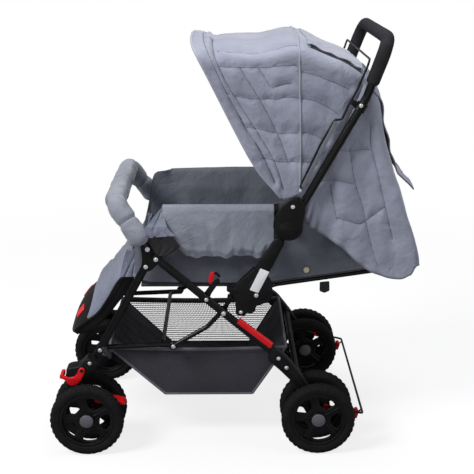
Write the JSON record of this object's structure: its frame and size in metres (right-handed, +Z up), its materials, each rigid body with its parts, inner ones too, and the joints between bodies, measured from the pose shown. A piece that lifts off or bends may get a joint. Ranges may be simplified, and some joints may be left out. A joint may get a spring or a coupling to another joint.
{
  "type": "pushchair",
  "caption": "Folding pushchair with a reversible handle, twin swivelling front wheels, deep reclining seat, hooped canopy, bumper bar, leg rest and a basket under the seat.",
  "frame": {"origin": "on the floor, under the middle of the bounding box", "axes": "-X to the front where the child faces, +X to the pusher, +Z up, L is -Y and R is +Y"},
  "size_m": [0.8637, 0.573, 0.9902],
  "materials": {
    "gloss_black": "gloss black enamel",
    "black_plastic": "satin black moulding",
    "tyre_black": "matte black foamed tread",
    "rim_black": "semi-gloss black moulding with a dark grey cap",
    "grip_foam": "dark grey foam",
    "red_plastic": "red moulding",
    "grey_fabric": "blue-grey quilted polyester",
    "basket_fabric": "black polyester with a grey bound edge",
    "spring_wire": "black sprung wire"
  },
  "bodies": {
    "chassis": {"front_leg_L": "gloss_black", "front_leg_R": "gloss_black", "front_bracket_L": "black_plastic", "front_bracket_R": "black_plastic", "front_housing_L": "black_plastic", "front_housing_R": "black_plastic", "arm_rail_L": "gloss_black", "arm_rail_R": "gloss_black", "lower_strut_L": "gloss_black", "lower_strut_R": "gloss_black", "strut_bracket_L": "black_plastic", "strut_bracket_R": "black_plastic", "wing_L": "grey_fabric", "wing_R": "grey_fabric", "seat_tub": "grey_fabric", "canopy_shell": "grey_fabric", "basket": "basket_fabric"},
    "rear_frame": {"rear_leg_L": "gloss_black", "rear_leg_R": "gloss_black", "rear_axle": "black_plastic"},
    "rail_frame": {"rail_frame": "gloss_black"},
    "link_L": {"fold_link_L": "gloss_black"},
    "link_R": {"fold_link_R": "gloss_black"},
    "handle": {"handle_tube": "gloss_black", "grip": "grip_foam", "pivot_plate_L": "black_plastic", "pivot_plate_R": "black_plastic"},
    "release": {"release_bar": "spring_wire"},
    "canopy_front": {"bow_front": "spring_wire"},
    "canopy_apex": {"bow_apex": "spring_wire"},
    "backrest": {"backrest_frame": "gloss_black", "backrest_pad": "grey_fabric"},
    "footrest": {"footrest_board": "black_plastic", "footrest_pad": "grey_fabric"},
    "bumper": {"bumper_bar": "gloss_black", "bumper_pad": "grey_fabric"},
    "caster_L": {"caster_fork_L": "black_plastic"},
    "wheel_front_L_outer": {"tyre_front_L_outer": "tyre_black", "rim_front_L_outer": "rim_black"},
    "wheel_rear_L_outer": {"tyre_rear_L_outer": "tyre_black", "rim_rear_L_outer": "rim_black"},
    "wheel_front_L_inner": {"tyre_front_L_inner": "tyre_black", "rim_front_L_inner": "rim_black"},
    "wheel_rear_L_inner": {"tyre_rear_L_inner": "tyre_black", "rim_rear_L_inner": "rim_black"},
    "lock_L": {"swivel_lock_L": "red_plastic"},
    "brake_L": {"front_brake_L": "red_plastic"},
    "caster_R": {"caster_fork_R": "black_plastic"},
    "wheel_front_R_outer": {"tyre_front_R_outer": "tyre_black", "rim_front_R_outer": "rim_black"},
    "wheel_rear_R_outer": {"tyre_rear_R_outer": "tyre_black", "rim_rear_R_outer": "rim_black"},
    "wheel_front_R_inner": {"tyre_front_R_inner": "tyre_black", "rim_front_R_inner": "rim_black"},
    "wheel_rear_R_inner": {"tyre_rear_R_inner": "tyre_black", "rim_rear_R_inner": "rim_black"},
    "lock_R": {"swivel_lock_R": "red_plastic"},
    "brake_R": {"front_brake_R": "red_plastic"},
    "rear_brake": {"brake_bar": "gloss_black"},
    "safety": {"safety_lever": "red_plastic"}
  },
  "joints": [
    {"name": "rear_fold", "type": "hinge", "parent": "chassis", "child": "rear_frame", "pos_m": [-0.1771, 0, 0.4745], "axis": [0, 1, 0], "range_deg": [0, 45], "deforming": ["basket"]},
    {"name": "rail_turn", "type": "hinge", "parent": "chassis", "child": "rail_frame", "pos_m": [-0.3157, 0, 0.2435], "axis": [0, 1, 0], "range_deg": [-1, 51], "deforming": ["basket"]},
    {"name": "link_turn_L", "type": "hinge", "parent": "rear_frame", "child": "link_L", "pos_m": [-0.0217, -0.2145, 0.3417], "axis": [0, 1, 0], "range_deg": [-89, 1]},
    {"name": "link_turn_R", "type": "hinge", "parent": "rear_frame", "child": "link_R", "pos_m": [-0.0217, 0.2145, 0.3417], "axis": [0, 1, 0], "range_deg": [-89, 1]},
    {"name": "handle_swing", "type": "hinge", "parent": "chassis", "child": "handle", "pos_m": [0.1278, 0, 0.5455], "axis": [0, 1, 0], "range_deg": [-95, 0], "deforming": ["canopy_shell"]},
    {"name": "release_pull", "type": "slide", "parent": "handle", "child": "release", "axis": [0.4924, 0, 0.8704], "range_m": [0, 0.01], "stiffness_N_per_m": 400, "springref_m": -0.004},
    {"name": "canopy_fold", "type": "hinge", "parent": "chassis", "child": "canopy_front", "pos_m": [0.1413, 0, 0.605], "axis": [0, 1, 0], "range_deg": [0, 34], "deforming": ["canopy_shell"]},
    {"name": "canopy_apex_turn", "type": "hinge", "parent": "chassis", "child": "canopy_apex", "pos_m": [0.1413, 0, 0.605], "axis": [0, 1, 0], "range_deg": [-1, 12], "deforming": ["canopy_shell"]},
    {"name": "recline", "type": "hinge", "parent": "chassis", "child": "backrest", "pos_m": [0.0543, 0, 0.3885], "axis": [0, 1, 0], "range_deg": [-55, 0], "deforming": ["canopy_shell"]},
    {"name": "leg_rest_lift", "type": "hinge", "parent": "chassis", "child": "footrest", "pos_m": [-0.2337, 0, 0.425], "axis": [0, 1, 0], "range_deg": [0, 35]},
    {"name": "bumper_swing", "type": "hinge", "parent": "chassis", "child": "bumper", "pos_m": [-0.1965, 0, 0.4965], "axis": [0, 1, 0], "range_deg": [-40, 0]},
    {"name": "caster_swivel_L", "type": "hinge", "parent": "chassis", "child": "caster_L", "pos_m": [-0.3777, -0.2285, 0.1775], "axis": [0, 0, 1], "continuous": true},
    {"name": "spin_front_L_outer", "type": "hinge", "parent": "caster_L", "child": "wheel_front_L_outer", "pos_m": [-0.3457, -0.27, 0.0875], "axis": [0, 1, 0], "continuous": true},
    {"name": "spin_rear_L_outer", "type": "hinge", "parent": "rear_frame", "child": "wheel_rear_L_outer", "pos_m": [0.2023, -0.27, 0.0875], "axis": [0, 1, 0], "continuous": true},
    {"name": "spin_front_L_inner", "type": "hinge", "parent": "caster_L", "child": "wheel_front_L_inner", "pos_m": [-0.3457, -0.187, 0.0875], "axis": [0, 1, 0], "continuous": true},
    {"name": "spin_rear_L_inner", "type": "hinge", "parent": "rear_frame", "child": "wheel_rear_L_inner", "pos_m": [0.2023, -0.187, 0.0875], "axis": [0, 1, 0], "continuous": true},
    {"name": "lock_lift_L", "type": "hinge", "parent": "chassis", "child": "lock_L", "pos_m": [-0.3567, -0.2498, 0.204], "axis": [0, 1, 0], "range_deg": [0, 25]},
    {"name": "brake_press_L", "type": "hinge", "parent": "caster_L", "child": "brake_L", "pos_m": [-0.3217, -0.2285, 0.123], "axis": [0, 1, 0], "range_deg": [0, 12]},
    {"name": "caster_swivel_R", "type": "hinge", "parent": "chassis", "child": "caster_R", "pos_m": [-0.3777, 0.2285, 0.1775], "axis": [0, 0, 1], "continuous": true},
    {"name": "spin_front_R_outer", "type": "hinge", "parent": "caster_R", "child": "wheel_front_R_outer", "pos_m": [-0.3457, 0.27, 0.0875], "axis": [0, 1, 0], "continuous": true},
    {"name": "spin_rear_R_outer", "type": "hinge", "parent": "rear_frame", "child": "wheel_rear_R_outer", "pos_m": [0.2023, 0.27, 0.0875], "axis": [0, 1, 0], "continuous": true},
    {"name": "spin_front_R_inner", "type": "hinge", "parent": "caster_R", "child": "wheel_front_R_inner", "pos_m": [-0.3457, 0.187, 0.0875], "axis": [0, 1, 0], "continuous": true},
    {"name": "spin_rear_R_inner", "type": "hinge", "parent": "rear_frame", "child": "wheel_rear_R_inner", "pos_m": [0.2023, 0.187, 0.0875], "axis": [0, 1, 0], "continuous": true},
    {"name": "lock_lift_R", "type": "hinge", "parent": "chassis", "child": "lock_R", "pos_m": [-0.3567, 0.2498, 0.204], "axis": [0, 1, 0], "range_deg": [0, 25]},
    {"name": "brake_press_R", "type": "hinge", "parent": "caster_R", "child": "brake_R", "pos_m": [-0.3217, 0.2285, 0.123], "axis": [0, 1, 0], "range_deg": [0, 12]},
    {"name": "rear_brake_press", "type": "hinge", "parent": "rear_frame", "child": "rear_brake", "pos_m": [0.2183, 0, 0.112], "axis": [0, 1, 0], "range_deg": [0, 12]},
    {"name": "safety_tilt", "type": "hinge", "parent": "rear_frame", "child": "safety", "pos_m": [-0.0617, -0.2245, 0.3759], "axis": [0, 1, 0], "range_deg": [-20, 0]}
  ],
  "couplings": [
    {"joint": "rail_turn", "follows": "rear_fold", "ratio": 1.1},
    {"joint": "link_turn_L", "follows": "rear_fold", "ratio": -1.955},
    {"joint": "link_turn_R", "follows": "rear_fold", "ratio": -1.955},
    {"joint": "canopy_apex_turn", "follows": "canopy_fold", "ratio": 0.3}
  ]
}
